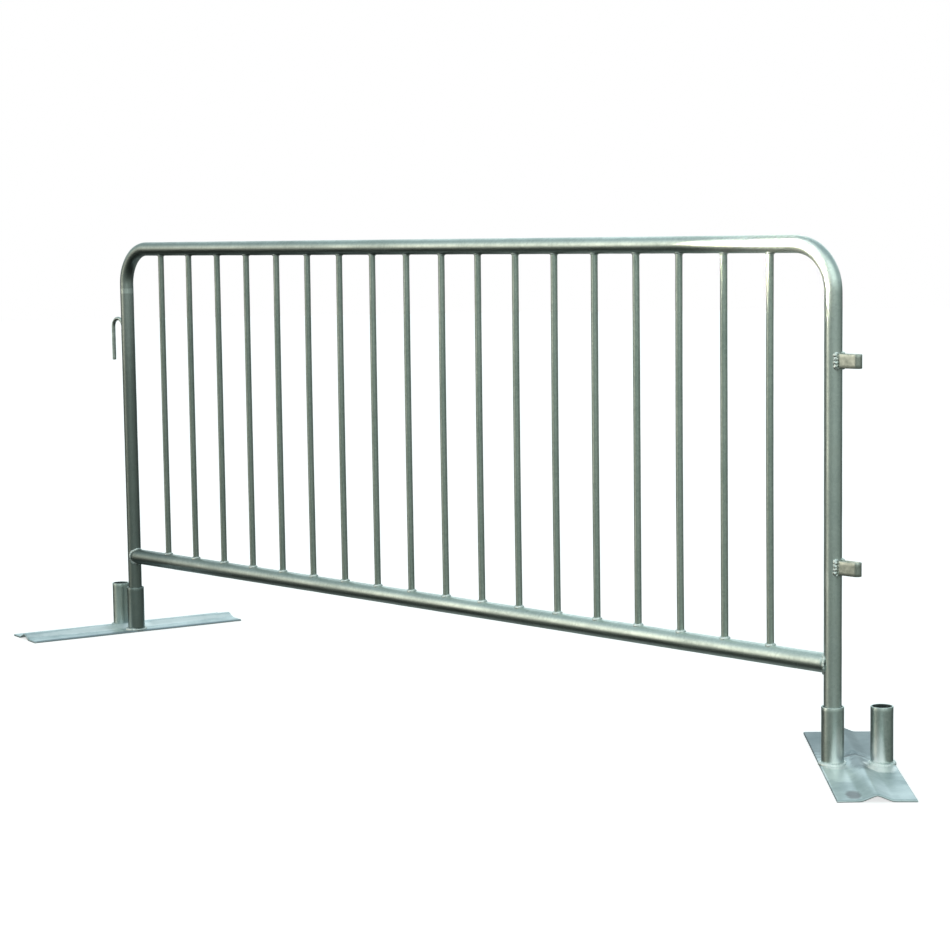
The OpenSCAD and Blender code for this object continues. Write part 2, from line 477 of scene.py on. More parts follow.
        # Painted highlight on the near flat of the right plate.
        near_flat_highlight = right.stain(0.095, -0.055, (0.034, 0.075), (0.90, 0.96, 0.95), 0.70, 0.9)
        # Painted shadow across the dented ridge behind the sockets.
        kink_shadow = right.stain(-0.052, -0.004, (0.032, 0.011), (0.08, 0.10, 0.11), 0.85, 0.7)
        # Painted shade along the ridge between and in front of the sockets.
        dip = right.stain(0.030, 0.002, (0.022, 0.070), (0.16, 0.20, 0.22), 0.80, 0.8)
        # Painted reflections of the sockets, on the plate round their feet.
        spare_socket_reflection = right.stain(0.045, 0.042, (0.036, 0.046), white, 0.95, 0.9)
        post_socket_reflection = right.stain(0.034, -0.048, (0.026, 0.024), white, 0.80, 0.8)
        near_end_dark_patch = right.stain(0.283, -0.043, (0.016, 0.036), (0.20, 0.20, 0.22), 0.85, 0.7)
        return (ridge_highlight, verge, far_half, near_flat_highlight, kink_shadow, dip, spare_socket_reflection, post_socket_reflection, near_end_dark_patch)


# ---------------------------------------------------------------- mesh tools


class TubeRun:
    """An open round skin that grows ring by ring, as a tube does in a bender."""

    def __init__(self, start: Vector, direction: Vector, radius: float, sides: int) -> None:
        """Starts the run with one ring.

        Args:
            start: Centre of the first ring.
            direction: Way that the run sets out.
            radius: Radius of the ring.
            sides: Number of sides of the ring.
        """
        self.mesh = bmesh.new()
        turn = direction.to_track_quat("Z", "Y").to_matrix().to_4x4()
        ring = bmesh.ops.create_circle(self.mesh, radius=radius, segments=sides, cap_ends=False,
                                       matrix=Matrix.Translation(start) @ turn)
        self.first = list(ring["verts"])
        self.last = list(ring["verts"])

    def _edges(self) -> list[bmesh.types.BMEdge]:
        """Finds the edges of the last ring.

        Returns:
            The edges.
        """
        ring = set(self.last)
        return [e for e in self.mesh.edges if e.verts[0] in ring and e.verts[1] in ring]

    def straight(self, travel: Vector, steps: int = 1) -> "TubeRun":
        """Grows the run in a straight line.

        Args:
            travel: How far and which way the end moves.
            steps: Number of rings that are added.

        Returns:
            The run itself.
        """
        for _ in range(steps):
            grown = bmesh.ops.extrude_edge_only(self.mesh, edges=self._edges())["geom"]
            self.last = [g for g in grown if isinstance(g, bmesh.types.BMVert)]
            bmesh.ops.translate(self.mesh, verts=self.last, vec=travel / steps)
        return self

    def bend(self, centre: Vector, axis: Vector, angle: float, steps: int) -> "TubeRun":
        """Grows the run round a bend.

        Args:
            centre: A point on the bend's axis.
            axis: The bend's axis.
            angle: Turn in radians, by the right-hand rule.
            steps: Number of rings that are added.

        Returns:
            The run itself.
        """
        geometry = self.last + self._edges()
        spun = bmesh.ops.spin(self.mesh, geom=geometry, cent=centre, axis=axis, angle=angle,
                              steps=steps, use_duplicate=False)
        self.last = [g for g in spun["geom_last"] if isinstance(g, bmesh.types.BMVert)]
        return self

    def close(self) -> "TubeRun":
        """Closes both ends with a face each.

        Returns:
            The run itself.
        """
        bmesh.ops.holes_fill(self.mesh, edges=[e for e in self.mesh.edges if e.is_boundary], sides=0)
        return self


def ring_bead(radius: float, thickness: float, steps: int, section: int) -> bmesh.types.BMesh:
    """A ring of round section in the XY plane, about the origin.

    Args:
        radius: Radius of the ring's centre line.
        thickness: Radius of the section.
        steps: Number of stations round the ring.
        section: Number of sides of the section.

    Returns:
        The new mesh.
    """
    mesh = bmesh.new()
    turn = Matrix.Translation((radius, 0.0, 0.0)) @ Matrix.Rotation(math.pi / 2, 4, "X")
    circle = bmesh.ops.create_circle(mesh, radius=thickness, segments=section, cap_ends=False,
                                     matrix=turn)
    geometry = list(circle["verts"]) + mesh.edges[:]
    bmesh.ops.spin(mesh, geom=geometry, cent=(0, 0, 0), axis=Z_AXIS, angle=math.tau, steps=steps,
                   use_duplicate=False, use_merge=True)
    bmesh.ops.remove_doubles(mesh, verts=mesh.verts[:], dist=1e-6)
    return mesh


def revolve(profile: Sequence[tuple[float, float]], steps: int) -> bmesh.types.BMesh:
    """Spins a closed profile about Z.

    Args:
        profile: Corners of the profile as radius and height, in order.
        steps: Number of stations round the axis.

    Returns:
        The new mesh.
    """
    mesh = bmesh.new()
    corners = [mesh.verts.new((radius, 0.0, height)) for radius, height in profile]
    edges = [mesh.edges.new((a, b)) for a, b in zip(corners, corners[1:] + corners[:1])]
    bmesh.ops.spin(mesh, geom=corners + edges, cent=(0, 0, 0), axis=Z_AXIS, angle=math.tau,
                   steps=steps, use_duplicate=False, use_merge=True)
    bmesh.ops.remove_doubles(mesh, verts=mesh.verts[:], dist=1e-7)
    return mesh


def roughen(verts: Iterable[bmesh.types.BMVert], height: float, cell: float,
            seed: float = 0.0) -> None:
    """Moves points along their normals by a smooth noise.

    Args:
        verts: The points that move.
        height: Largest move, in metres.
        cell: Size of a bump, in metres.
        seed: Shifts the noise.
    """
    shift = Vector((seed, 2.0 * seed, -seed))
    moves = [(v, v.normal * (height * noise.noise(v.co / cell + shift))) for v in verts]
    for vert, move in moves:
        vert.co += move


def blob(mesh: bmesh.types.BMesh, centre: Vector, size: Vector, seed: float,
         lump: float = 0.22) -> None:
    """Adds a lumpy ball of weld metal to a mesh.

    Args:
        mesh: The mesh that gets the ball.
        centre: Centre of the ball.
        size: Half of its size along X, Y and Z.
        seed: Shifts the noise, so that no two are alike.
        lump: Height of the lumps, as a share of the size.
    """
    made = bmesh.ops.create_icosphere(mesh, subdivisions=3, radius=1.0)["verts"]
    for vert in made:
        swell = 1.0 + lump * noise.noise(vert.co * 1.7 + Vector((seed, -seed, 3.1 * seed)))
        swell += 0.5 * lump * noise.noise(vert.co * 4.3 + Vector((seed, seed, seed)))
        vert.co = centre + Vector([s * c for s, c in zip(size, vert.co)]) * swell


def join(target: bmesh.types.BMesh, extra: bmesh.types.BMesh, place: Matrix | None = None) -> None:
    """Copies one mesh into another and frees it.

    Args:
        target: The mesh that grows.
        extra: The mesh that is copied.
        place: Where the copy goes, if it moves.
    """
    if place is not None:
        bmesh.ops.transform(extra, matrix=place, verts=extra.verts[:])
    scrap = bpy.data.meshes.new("scrap")
    extra.to_mesh(scrap)
    extra.free()
    target.from_mesh(scrap)
    bpy.data.meshes.remove(scrap)


@dataclass
class Piece:
    """One finished piece: its mesh, what it stands for and how it moves."""

    name: str
    mesh: bmesh.types.BMesh
    material: bpy.types.Material
    slot: str
    body: Body
    stands_for: tuple[str, ...]
    wall: float = 0.0
    soften: float = 0.0
    inside: bpy.types.Material | None = None

    def make(self) -> bpy.types.Object:
        """Turns the mesh into an object of the scene.

        Returns:
            The new object, riding on its body.
        """
        bmesh.ops.recalc_face_normals(self.mesh, faces=self.mesh.faces[:])
        for face in self.mesh.faces:
            face.smooth = True
        data = bpy.data.meshes.new(self.name)
        self.mesh.to_mesh(data)
        self.mesh.free()
        data.materials.append(self.material)
        if self.inside is not None:
            data.materials.append(self.inside)
        made = bpy.data.objects.new(self.name, data)
        bpy.context.scene.collection.objects.link(made)
        if self.wall:
            shell = made.modifiers.new("wall", "SOLIDIFY")
            shell.thickness = self.wall
            shell.offset = -1.0
            shell.use_even_offset = True
        if self.soften:
            edge = made.modifiers.new("soft_edges", "BEVEL")
            edge.width = self.soften
            edge.segments = 2
            edge.limit_method = "ANGLE"
            edge.angle_limit = math.radians(40.0)
        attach(made, self.body.value)
        if self.stands_for:
            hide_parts(*self.stands_for)
        LOG.info("made %s on %s", self.name, self.body.value)
        return made


# ---------------------------------------------------------------- the frame's pieces


@dataclass
class FrameSizes:
    """Sizes of the welded frame, read from the CAD nodes, in metres."""

    tube_r: float
    rail_r: float
    bar_r: float
    rod_r: float
    left_x: float
    right_x: float
    foot_z: float
    top_z: float
    rail_z: float
    bar_xs: tuple[float, ...]
    bend_r: float = 0.100
    tube_wall: float = 0.0016
    bar_wall: float = 0.0012
    cope_reach: float = 0.0088

    @classmethod
    def from_cad(cls) -> "FrameSizes":
        """Measures the CAD nodes.

        Returns:
            The frame's sizes.
        """
        low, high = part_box("frame_tube")
        tube_r = (high.y - low.y) / 2
        rail_low, rail_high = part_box("bottom_rail")
        bars = sorted(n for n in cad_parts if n.startswith("infill_bar_"))
        boxes = [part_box(n) for n in bars]
        hook_low, hook_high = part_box("latch_hook")
        return cls(
            tube_r=tube_r,
            rail_r=(rail_high.z - rail_low.z) / 2,
            bar_r=(boxes[0][1].x - boxes[0][0].x) / 2,
            rod_r=(hook_high.y - hook_low.y) / 2,
            left_x=low.x + tube_r,
            right_x=high.x - tube_r,
            foot_z=low.z,
            top_z=high.z - tube_r,
            rail_z=(rail_high.z + rail_low.z) / 2,
            bar_xs=tuple((a.x + b.x) / 2 for a, b in boxes),
        )


def saddle(radius: float, across: float) -> float:
    """How far a round tube's surface stands off its axis.

    Args:
        radius: The tube's radius.
        across: Distance to the side of its axis.

    Returns:
        The height of the surface, or 0 past its side.
    """
    return math.sqrt(max(0.0, radius * radius - across * across))


class WeldedFrame:
    """The bent tube, the bottom rail and the upright bars."""

    def __init__(self, sizes: FrameSizes, finishes: Finishes) -> None:
        """Keeps the sizes and the finishes.

        Args:
            sizes: The frame's sizes.
            finishes: The materials.
        """
        self.sizes = sizes
        self.finishes = finishes

    def build(self) -> None:
        """Makes every piece of the frame."""
        self.frame_tube()
        self.bottom_rail()
        for index, x in enumerate(self.sizes.bar_xs, start=1):
            self.infill_bar(index, x)
        self.bar_welds()
        self.rail_end_welds()

    def frame_tube(self) -> None:
        """One tube bent into an inverted U, with a slightly uneven skin."""
        s = self.sizes
        rise = s.top_z - s.bend_r - s.foot_z
        across = s.right_x - s.left_x - 2 * s.bend_r
        run = TubeRun(Vector((s.left_x, 0, s.foot_z)), Z_AXIS, s.tube_r, 48)
        run.straight(Z_AXIS * rise, 50)
        run.bend(Vector((s.left_x + s.bend_r, 0, s.foot_z + rise)), Y_AXIS, math.pi / 2, 20)
        run.straight(X_AXIS * across, 110)
        run.bend(Vector((s.right_x - s.bend_r, 0, s.foot_z + rise)), Y_AXIS, math.pi / 2, 20)
        run.straight(-Z_AXIS * rise, 50)
        run.mesh.normal_update()
        roughen(run.mesh.verts, height=-0.00025, cell=0.045)
        for vert in run.mesh.verts:
            vert.co.z = min(vert.co.z, s.top_z + s.tube_r)
        Piece("frame_tube_skin", run.mesh, self.finishes.tube, "galvanised_tube", Body.FRAME,
              ("frame_tube",), wall=s.tube_wall).make()

    def bottom_rail(self) -> None:
        """Round tube between the posts, with both ends coped to them."""
        s = self.sizes
        run = TubeRun(Vector((s.left_x, 0, s.rail_z)), X_AXIS, s.rail_r, 48)
        run.straight(X_AXIS * (s.right_x - s.left_x), 120)
        for vert in run.first:
            vert.co.x = s.left_x + max(saddle(s.tube_r, vert.co.y), s.cope_reach)
        for vert in run.last:
            vert.co.x = s.right_x - max(saddle(s.tube_r, vert.co.y), s.cope_reach)
        run.mesh.normal_update()
        roughen(run.mesh.verts, height=0.00025, cell=0.05, seed=4.0)
        Piece("bottom_rail_skin", run.mesh, self.finishes.tube, "galvanised_tube", Body.FRAME,
              ("bottom_rail",), wall=s.tube_wall).make()

    def infill_bar(self, index: int, x: float) -> None:
        """One upright thin tube, a little bowed, with its ends coped to the rails.

        Args:
            index: The bar's number, from 1 at the left.
            x: The bar's place along the barrier.
        """
        s = self.sizes
        length = s.top_z - s.rail_z
        run = TubeRun(Vector((x, 0, s.rail_z)), Z_AXIS, s.bar_r, 24)
        run.straight(Z_AXIS * length, 40)
        for vert in run.first:
            vert.co.z = s.rail_z + saddle(s.rail_r, vert.co.y)
        for vert in run.last:
            vert.co.z = s.top_z - saddle(s.tube_r, vert.co.y)
        bow, lean = 0.0016, 0.0013
        bow_x = bow * noise.noise(Vector((index * 3.7, 0.4, 0.0)))
        bow_y = bow * noise.noise(Vector((0.2, index * 5.1, 0.0)))
        for vert in run.mesh.verts:
            share = math.sin(math.pi * (vert.co.z - s.rail_z) / length)
            vert.co.x += (bow_x - lean) * share
            vert.co.y += bow_y * share
        run.mesh.normal_update()
        roughen(run.mesh.verts, height=0.00018, cell=0.03, seed=float(index))
        node = f"infill_bar_{index:02d}"
        Piece(node + "_skin", run.mesh, self.finishes.bar, "galvanised_bar", Body.FRAME,
              (node,), wall=s.bar_wall).make()

    def _bar_bead(self, x: float, rail_r: float, axis_z: float, way: float, fat_r: float,
                  seed: float) -> bmesh.types.BMesh:
        """A lumpy bead round the end of one bar, draped over a rail.

        Args:
            x: The bar's place along the barrier.
            rail_r: The rail's radius.
            axis_z: Height of the rail's axis.
            way: 1 where the bead sits on top of the rail, -1 where it hangs below.
            fat_r: Radius of the bead's section.
            seed: Shifts the noise.

        Returns:
            The bead.
        """
        line_r = self.sizes.bar_r + 0.0006
        bead = ring_bead(line_r, fat_r, 40, 10)
        for vert in bead.verts:
            angle = math.atan2(vert.co.y, vert.co.x)
            around = Vector((math.cos(angle), math.sin(angle), 0.0))
            centre = around * line_r
            fat = 1.0 + 0.35 * noise.noise(around * 1.3 + Vector((seed, seed * 0.7, 0.0)))
            fat += 0.16 * math.sin(13.0 * angle + seed)
            vert.co = centre + (vert.co - centre) * fat
            vert.co.z = way * (vert.co.z + saddle(rail_r + 0.0012, vert.co.y))
        bmesh.ops.translate(bead, verts=bead.verts[:], vec=(x, 0.0, axis_z))
        return bead

    def bar_welds(self) -> None:
        """The beads at both ends of the bars."""
        s = self.sizes
        for name, radius, axis_z, way, fat_r in (
                ("bottom_bar_welds", s.rail_r, s.rail_z, 1.0, 0.0033),
                ("top_bar_welds", s.tube_r, s.top_z, -1.0, 0.0016)):
            beads = bmesh.new()
            for index, x in enumerate(s.bar_xs):
                join(beads, self._bar_bead(x, radius, axis_z, way, fat_r, index * 1.9 + way))
            Piece(name.replace("welds", "beads"), beads, self.finishes.weld, "weld_zinc",
                  Body.FRAME, (name,)).make()

    def rail_end_welds(self) -> None:
        """The beads between the bottom rail's ends and the posts."""
        s = self.sizes
        beads = bmesh.new()
        upright = Matrix.Rotation(math.pi / 2, 4, "Y")
        line_r, fat_r = s.rail_r + 0.0006, 0.0030
        for x, way in ((s.left_x, 1.0), (s.right_x, -1.0)):
            bead = ring_bead(line_r, fat_r, 72, 10)
            bmesh.ops.transform(bead, matrix=upright, verts=bead.verts[:])
            for vert in bead.verts:
                angle = math.atan2(vert.co.z, vert.co.y)
                around = Vector((0.0, math.cos(angle), math.sin(angle)))
                centre = around * line_r
                fat = 1.0 + 0.3 * noise.noise(around * 2.0 + Vector((x, 0.0, 0.0)))
                fat += 0.12 * math.sin(22.0 * angle)
                vert.co = centre + (vert.co - centre) * fat
                standoff = max(saddle(s.tube_r + 0.0014, vert.co.y), s.cope_reach)
                vert.co.x = x + way * (vert.co.x + standoff)
                vert.co.z += s.rail_z
            join(beads, bead)
        Piece("rail_end_beads", beads, self.finishes.weld, "weld_zinc", Body.FRAME,
              ("rail_end_welds",)).make()


class Latch:
    """The hook on the left post and the two loops on the right post."""

    def __init__(self, sizes: FrameSizes, finishes: Finishes) -> None:
        """Keeps the sizes and the finishes.

        Args:
            sizes: The frame's sizes.
            finishes: The materials.
        """
        self.sizes = sizes
        self.finishes = finishes

    def build(self) -> None:
        """Makes the hook, the loops and their welds."""
        self.hook()
        self.hook_welds()
        beads = bmesh.new()
        for node in ("upper_loop", "lower_loop"):
            self.loop(node)
            self.loop_welds(node, beads)
        Piece("loop_beads", beads, self.finishes.weld, "weld_zinc", Body.FRAME,
              ("loop_welds",)).make()

    def hook(self) -> None:
        """Rod bent into a hook: a leg on the post, a half turn and a free pin."""
        s = self.sizes
        low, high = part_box("latch_hook")
        sink, tail = 0.0003, 0.0055
        pin_x = low.x + s.rod_r
        leg_x = s.left_x - s.tube_r - s.rod_r + sink
        bend_r = (leg_x - pin_x) / 2
        bend_z = high.z - s.rod_r - bend_r
        leg_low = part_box("hook_welds")[0].z - tail
        run = TubeRun(Vector((leg_x, 0, leg_low)), Z_AXIS, s.rod_r, 24)
        run.straight(Z_AXIS * (bend_z - leg_low), 12)
        run.bend(Vector(((leg_x + pin_x) / 2, 0, bend_z)), -Y_AXIS, math.pi, 24)
        run.straight(-Z_AXIS * (bend_z - low.z), 24)
        run.close()
        for ring in (run.first, run.last):
            faces = [f for f in run.mesh.faces if set(f.verts) <= set(ring)]
            edges = {e for f in faces for e in f.edges}
            bmesh.ops.bevel(run.mesh, geom=list(edges), offset=0.0016, offset_type="OFFSET",
                            segments=3, profile=0.5, affect="EDGES", material=-1)
        run.mesh.normal_update()
        roughen(run.mesh.verts, height=-0.0002, cell=0.012)
        Piece("latch_hook_rod", run.mesh, self.finishes.rod, "galvanised_rod", Body.FRAME,
              ("latch_hook",)).make()

    def hook_welds(self) -> None:
        """Two lumpy runs of weld, one on each side of the hook's leg."""
        s = self.sizes
        low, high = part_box("hook_welds")
        beads = bmesh.new()
        seam_x, aside, lumps = (low.x + high.x) / 2, 0.0062, 5
        for side in (-1.0, 1.0):
            for number in range(lumps):
                z = low.z + (high.z - low.z) * (number + 0.5) / lumps
                centre = Vector((seam_x, side * aside, z))
                blob(beads, centre, Vector((0.0030, 0.0030, 0.0052)), number + 7.0 * side)
        blob(beads, Vector((seam_x, 0.0, low.z - 0.0045)), Vector((0.0036, 0.0062, 0.0034)), 3.3)
        Piece("hook_beads", beads, self.finishes.weld, "weld_zinc", Body.FRAME,
              ("hook_welds",)).make()

    def loop(self, node: str) -> None:
        """Flat strap bent into a U, with both ends on the post.

        Args:
            node: The loop's CAD node.
        """
        s = self.sizes
        low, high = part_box(node)
        half = (high.y - low.y) / 2
        strap, sink, leg_steps = 0.004, 0.0002, 6
        turn_r = half - strap / 2
        turn_x = high.x - half
        start_x = s.right_x + saddle(s.tube_r, turn_r)
        mesh = bmesh.new()
        verts = [mesh.verts.new((start_x, -turn_r, z)) for z in (low.z, high.z)]
        edges = [mesh.edges.new(verts)]
        for _ in range(leg_steps):
            verts, edges = self._grow(mesh, edges, X_AXIS * ((turn_x - start_x) / leg_steps))
        spun = bmesh.ops.spin(mesh, geom=verts + edges, cent=(turn_x, 0, 0), axis=Z_AXIS,
                              angle=math.pi, steps=16, use_duplicate=False)
        edges = [g for g in spun["geom_last"] if isinstance(g, bmesh.types.BMEdge)]
        for _ in range(leg_steps):
            verts, edges = self._grow(mesh, edges, X_AXIS * ((start_x - turn_x) / leg_steps))
        upright = [e for e in mesh.edges if abs(e.verts[0].co.z - e.verts[1].co.z) > 0.01]
        bmesh.ops.subdivide_edges(mesh, edges=upright, cuts=3, use_grid_fill=True)
        bmesh.ops.recalc_face_normals(mesh, faces=mesh.faces[:])
        mesh.normal_update()
        bmesh.ops.solidify(mesh, geom=mesh.faces[:], thickness=strap)
        for vert in mesh.verts:
            if vert.co.x < start_x + 0.002:
                vert.co.x = s.right_x + saddle(s.tube_r, vert.co.y) - sink
        self._fit_across(mesh, half)
        Piece(node + "_strap", mesh, self.finishes.strap, "galvanised_strap", Body.FRAME,
              (node,), soften=0.0009).make()

    @staticmethod
    def _fit_across(mesh: bmesh.types.BMesh, half: float) -> None:
        """Centres a strap's mesh across Y on its stated half width.

        Args:
            mesh: The strap's mesh.
            half: Half of the loop's width.
        """
        widest = max(abs(v.co.y) for v in mesh.verts)
        for vert in mesh.verts:
            if abs(vert.co.y) > half:
                vert.co.y *= half / widest

    @staticmethod
    def _grow(mesh: bmesh.types.BMesh, edges: list[bmesh.types.BMEdge],
              travel: Vector) -> tuple[list[bmesh.types.BMVert], list[bmesh.types.BMEdge]]:
        """Extrudes edges and moves them on.

        Args:
            mesh: The mesh that grows.
            edges: The edges at its end.
            travel: How far they move.

        Returns:
            The points and the edges of the new end.
        """
        grown = bmesh.ops.extrude_edge_only(mesh, edges=edges)["geom"]
        verts = [g for g in grown if isinstance(g, bmesh.types.BMVert)]
        bmesh.ops.translate(mesh, verts=verts, vec=travel)
        ends = set(verts)
        return verts, [e for e in mesh.edges if e.verts[0] in ends and e.verts[1] in ends]

    def loop_welds(self, node: str, beads: bmesh.types.BMesh) -> None:
        """Big lumps of weld where a loop's legs meet the post.

        Args:
            node: The loop's CAD node.
            beads: The mesh that gets the lumps.
        """
        s = self.sizes
        low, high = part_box(node)
        half, lumps = (high.y - low.y) / 2, 4
        seam_x = s.right_x + saddle(s.tube_r, half) + 0.001
        for side in (-1.0, 1.0):
            for number in range(lumps):
                z = low.z + (high.z - low.z) * (number + 0.5) / lumps
                centre = Vector((seam_x, side * (half + 0.0005), z))
                seed = z * 40.0 + side * 3.0 + number
                blob(beads, centre, Vector((0.0055, 0.0042, 0.0062)), seed, 0.35)
            for z in (low.z - 0.0008, high.z + 0.0008):
                centre = Vector((seam_x + 0.001, side * (half - 0.002), z))
                blob(beads, centre, Vector((0.0048, 0.0045, 0.0028)), z * 33.0 + side, 0.3)


# ---------------------------------------------------------------- the bases


@dataclass
class BaseSizes:
    """Sizes of a base, in metres, in its own axes: X across, Y along, Z up."""

    length: float = 0.650
    thickness: float = 0.005
    ridge_w: float = 0.055
    ridge_h: float = 0.012
    ridge_gap: float = 0.00035
    edge_margin: float = 0.00435
    socket_h: float = 0.124
    socket_r: float = 0.02415
    bore_r: float = 0.02095

    @property
    def socket_x(self) -> float:
        """Distance from the ridge's line to a socket's axis."""
        return self.ridge_w / 2 + self.ridge_gap + self.socket_r

    @property
    def half_w(self) -> float:
        """Half of the plate's width."""
        return self.socket_x + self.socket_r + self.edge_margin


class Base:
    """One loose base: a folded plate and two sockets."""

    def __init__(self, side: Side, sizes: BaseSizes, finishes: Finishes) -> None:
        """Works out where the base stands from its CAD sockets.

        Args:
            side: Which end of the barrier it is at.
            sizes: The base's sizes.
            finishes: The materials.
        """
        self.side = side
        self.sizes = sizes
        self.finishes = finishes
        self.post = self._centre("post_socket")
        self.spare = self._centre("spare_socket")
        across = (self.spare - self.post) * side.value
        turn = math.atan2(across.y, across.x)
        middle = (self.post + self.spare) / 2
        self.place = Matrix.Translation(middle) @ Matrix.Rotation(turn, 4, "Z")

    def _centre(self, part: str) -> Vector:
        """Floor point under a socket's axis.

        Args:
            part: The end of the socket's node name.

        Returns:
            The point, with Z at the floor.
        """
        low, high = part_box(self.side.prefix + part)
        return Vector(((low.x + high.x) / 2, (low.y + high.y) / 2, 0.0))

    def build(self) -> None:
        """Makes every piece of the base."""
        self.plate()
        for part in ("post_socket", "spare_socket"):
            self.socket(part)
        self.socket_welds()

    def _fold(self, x: float, y: float) -> float:
        """Height of the soft fold above the flat sheet.

        Args:
            x: Distance across the plate, from the ridge's line.
            y: Distance along the plate.

        Returns:
            The height, in metres.
        """
        s = self.sizes
        crown, foot = 0.004, 0.0016
        dent_share, dent_y, dent_w = 0.42, 0.055, 0.014
        slope = s.ridge_h / (s.ridge_w / 2)
        roof = s.ridge_h - slope * (math.hypot(x, crown) - crown)
        lift = (roof + math.hypot(roof, foot)) / 2
        dent = dent_share * math.exp(-((y - dent_y) / dent_w) ** 2)
        return lift * (1.0 - dent)

    def plate(self) -> None:
        """Folded plate, with soft folds, a dented ridge and hardly noticeable waves."""
        s = self.sizes
        wave_h, rim_r = 0.0008, 0.0034
        mesh = bmesh.new()
        bmesh.ops.create_grid(mesh, x_segments=46, y_segments=90, size=0.5)
        bmesh.ops.scale(mesh, vec=(2 * s.half_w, s.length, 1.0), verts=mesh.verts[:])
        for vert in mesh.verts:
            wave = noise.noise(Vector((vert.co.x * 14.0, vert.co.y * 9.0, 1.7 * self.side.value)))
            vert.co.z = s.thickness + self._fold(vert.co.x, vert.co.y) + wave_h * (0.5 + 0.5 * wave)
        mesh.normal_update()
        bmesh.ops.solidify(mesh, geom=mesh.faces[:], thickness=s.thickness)
        low = min(v.co.z for v in mesh.verts)
        bmesh.ops.translate(mesh, verts=mesh.verts[:], vec=Z_AXIS * -low)
        mesh.normal_update()
        rims = [e for e in mesh.edges if len(e.link_faces) == 2
                and sorted(f.normal.z > 0.5 for f in e.link_faces) == [False, True]
                and min(abs(f.normal.z) for f in e.link_faces) < 0.3]
        bmesh.ops.bevel(mesh, geom=rims, offset=rim_r, offset_type="OFFSET", segments=4,
                        profile=0.5, affect="EDGES", material=-1)
        bmesh.ops.transform(mesh, matrix=self.place, verts=mesh.verts[:])
        node = self.side.prefix + "base_plate"
        Piece(node + "_sheet", mesh, self.finishes.plate, "galvanised_plate", self.side.body,
              (node,), soften=0.0006).make()

    def socket(self, part: str) -> None:
        """Short thick tube with sawn, slightly rounded ends.

        Args:
            part: The end of the socket's node name.
        """
        s = self.sizes
        low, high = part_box(self.side.prefix + part)
        chamfer = 0.0007
        rings = 14
        profile = [(s.socket_r, low.z)]
        profile += [(s.socket_r, low.z + (s.socket_h - chamfer) * k / rings) for k in range(1, rings)]
        profile += [(s.socket_r, high.z - chamfer), (s.socket_r - chamfer * 0.3, high.z - chamfer * 0.3),
                    (s.socket_r - chamfer, high.z), (s.bore_r + chamfer, high.z),
                    (s.bore_r + chamfer * 0.3, high.z - chamfer * 0.3), (s.bore_r, high.z - chamfer),
                    (s.bore_r, low.z)]
        mesh = revolve(profile, 56)
        centre = self.post if part == "post_socket" else self.spare
        bmesh.ops.translate(mesh, verts=mesh.verts[:], vec=centre)
        bmesh.ops.recalc_face_normals(mesh, faces=mesh.faces[:])
        mesh.normal_update()
        roughen(mesh.verts, height=0.0002, cell=0.03, seed=centre.x)
        # The bore's inner faces take the second material, the near black bore finish, as painted shade.
        for face in mesh.faces:
            out = face.calc_center_median() - centre
            out.z = 0.0
            if out.length < (s.bore_r + 0.0003) and face.normal.dot(out) < 0:
                face.material_index = 1
        node = self.side.prefix + part
        Piece(node + "_tube", mesh, self.finishes.socket, "galvanised_socket", self.side.body,
              (node,), inside=self.finishes.bore_shade).make()

    def socket_welds(self) -> None:
        """Lumpy beads round the feet of the sockets."""
        s = self.sizes
        line_r, fat_r = s.socket_r + 0.0012, 0.0047
        beads = bmesh.new()
        for number, centre in enumerate((self.post, self.spare)):
            bead = ring_bead(line_r, fat_r, 72, 10)
            for vert in bead.verts:
                angle = math.atan2(vert.co.y, vert.co.x)
                around = Vector((math.cos(angle), math.sin(angle), 0.0))
                middle = around * line_r
                fat = 1.0 + 0.30 * noise.noise(around * 1.8 + Vector((centre.x, number, 0.0)))
                fat += 0.10 * math.sin(24.0 * angle + number) + 0.40 * around.y ** 2
                vert.co = middle + (vert.co - middle) * fat
                vert.co.z = max(vert.co.z, -0.0015) + s.thickness
            join(beads, bead, Matrix.Translation(centre))
        node = self.side.prefix + "socket_welds"
        Piece(node + "_beads", beads, self.finishes.weld, "weld_zinc", self.side.body,
              (node,)).make()


# ---------------------------------------------------------------- the studio


@dataclass
class Viewpoint:
    """Where the camera stands, from the middle of the barrier, and where it looks."""

    distance: float = 5.860
    bearing: float = 48.074
    eye_height: float = 1.13715
    heading: float = 46.903
    dip: float = 5.851
    roll: float = -0.789
    lens: float = 89.46

    def build(self, middle: Vector) -> bpy.types.Object:
        """Makes the camera and gives it to the scene.

        Args:
            middle: Floor point under the middle of the barrier.

        Returns:
            The camera.
        """
        data = bpy.data.cameras.new("viewpoint")
        data.lens = self.lens
        data.sensor_width = 36.0
        camera = bpy.data.objects.new("viewpoint", data)
        bpy.context.scene.collection.objects.link(camera)
        bearing = math.radians(self.bearing)
        stand = Vector((math.sin(bearing), -math.cos(bearing), 0.0)) * self.distance
        stand.z = self.eye_height
        aim = (Matrix.Rotation(math.radians(self.heading), 4, "Z")
               @ Matrix.Rotation(math.radians(90.0 - self.dip), 4, "X")
               @ Matrix.Rotation(math.radians(self.roll), 4, "Z"))
        camera.matrix_world = Matrix.Translation(middle + stand) @ aim
        bpy.context.scene.camera = camera
        return camera


